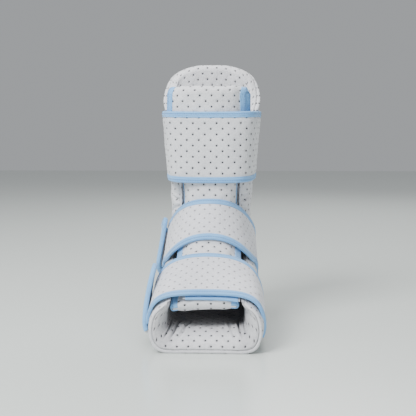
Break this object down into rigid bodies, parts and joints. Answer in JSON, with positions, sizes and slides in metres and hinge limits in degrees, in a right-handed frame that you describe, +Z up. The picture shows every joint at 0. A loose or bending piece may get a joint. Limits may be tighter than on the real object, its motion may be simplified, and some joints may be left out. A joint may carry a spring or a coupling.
{
  "type": "padded walking boot",
  "caption": "Soft padded leg and foot boot with an open toe, an open front closed by soft pads and wide bound straps over shin, ankle and forefoot.",
  "frame": {"origin": "middle of the flat sole, half way from the toe to the heel, where the sole meets the floor", "axes": "+Z up along the leg, -Y towards the toe, +Y towards the heel, X across the foot with the tabs on the -X side"},
  "size_m": [0.1506, 0.255, 0.355],
  "materials": {
    "cover_fabric": "matt light grey perforated cloth over foam",
    "lining_fabric": "matt pale grey perforated lining cloth over foam",
    "binding_tape": "light blue ribbed binding tape with stitching"
  },
  "bodies": {
    "root": {"outer_cover": "cover_fabric", "inner_liner": "lining_fabric", "instep_pad": "cover_fabric", "shin_pad": "cover_fabric", "instep_pad_binding_left": "binding_tape", "instep_pad_binding_right": "binding_tape", "shin_pad_binding_left": "binding_tape", "shin_pad_binding_right": "binding_tape", "calf_strap": "cover_fabric", "calf_strap_binding_lower": "binding_tape", "calf_strap_binding_upper": "binding_tape", "ankle_strap": "cover_fabric", "ankle_strap_binding_lower": "binding_tape", "ankle_strap_binding_upper": "binding_tape", "foot_strap": "cover_fabric", "foot_strap_binding_lower": "binding_tape", "foot_strap_binding_upper": "binding_tape", "foot_strap_lining": "cover_fabric", "foot_strap_lining_binding": "binding_tape", "ankle_tab": "cover_fabric", "ankle_tab_binding": "binding_tape", "foot_tab": "cover_fabric", "foot_tab_binding": "binding_tape"}
  },
  "joints": []
}
